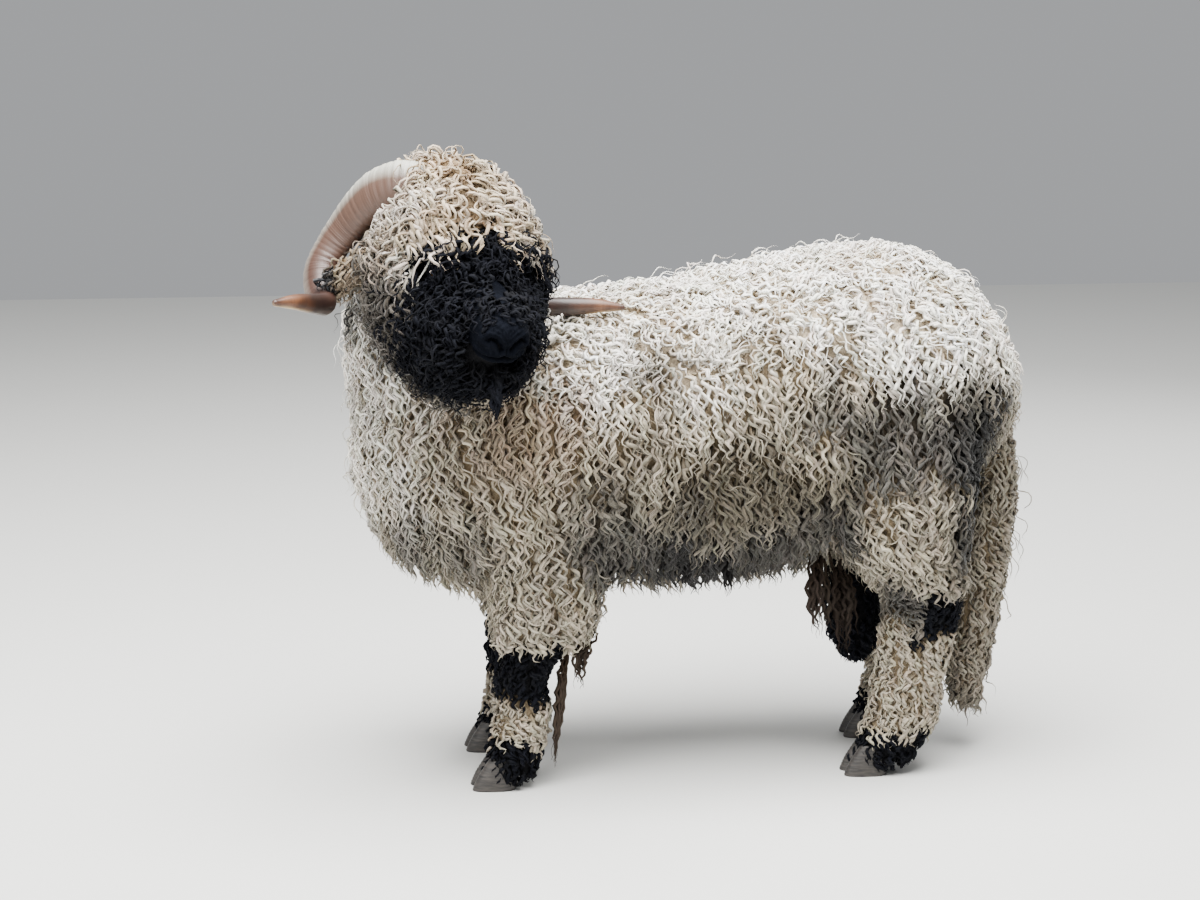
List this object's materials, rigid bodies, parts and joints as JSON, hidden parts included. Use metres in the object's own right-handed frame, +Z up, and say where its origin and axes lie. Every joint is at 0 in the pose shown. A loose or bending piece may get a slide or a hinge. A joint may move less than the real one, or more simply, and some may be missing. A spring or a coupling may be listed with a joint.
{
  "type": "valais blacknose sheep model",
  "caption": "Life-size standing ram of a mountain sheep breed in full curly fleece, with black face, ears, knees, hocks and feet, spiral horns and a long woolly tail; still model.",
  "frame": {"origin": "middle of the model's footprint box, at the level of the soles of the hooves", "axes": "+Z up; the ram faces -X, so +X runs from its breast to its tail; its left side is towards -Y"},
  "size_m": [1.1887, 0.6312, 0.978],
  "materials": {
    "fleece": "curly cream wool, dirty below",
    "black_wool": "curly black wool and hair",
    "horn": "ridged brown horn",
    "hoof": "dark horny claw",
    "eye": "wet amber eye"
  },
  "bodies": {
    "root": {"torso": "fleece", "neck": "fleece", "forelock": "fleece", "head": "black_wool", "ear_left": "black_wool", "ear_right": "black_wool", "horn_left": "horn", "horn_right": "horn", "eye_left": "eye", "eye_right": "eye", "tail": "fleece", "scrotum": "black_wool", "fore_left_upper": "fleece", "fore_left_knee": "black_wool", "fore_left_cannon": "fleece", "fore_left_foot": "black_wool", "fore_left_claw_outer": "hoof", "fore_left_claw_inner": "hoof", "fore_right_upper": "fleece", "fore_right_knee": "black_wool", "fore_right_cannon": "fleece", "fore_right_foot": "black_wool", "fore_right_claw_outer": "hoof", "fore_right_claw_inner": "hoof", "hind_left_upper": "fleece", "hind_left_hock": "black_wool", "hind_left_cannon": "fleece", "hind_left_foot": "black_wool", "hind_left_claw_outer": "hoof", "hind_left_claw_inner": "hoof", "hind_right_upper": "fleece", "hind_right_hock": "black_wool", "hind_right_cannon": "fleece", "hind_right_foot": "black_wool", "hind_right_claw_outer": "hoof", "hind_right_claw_inner": "hoof"}
  },
  "joints": []
}
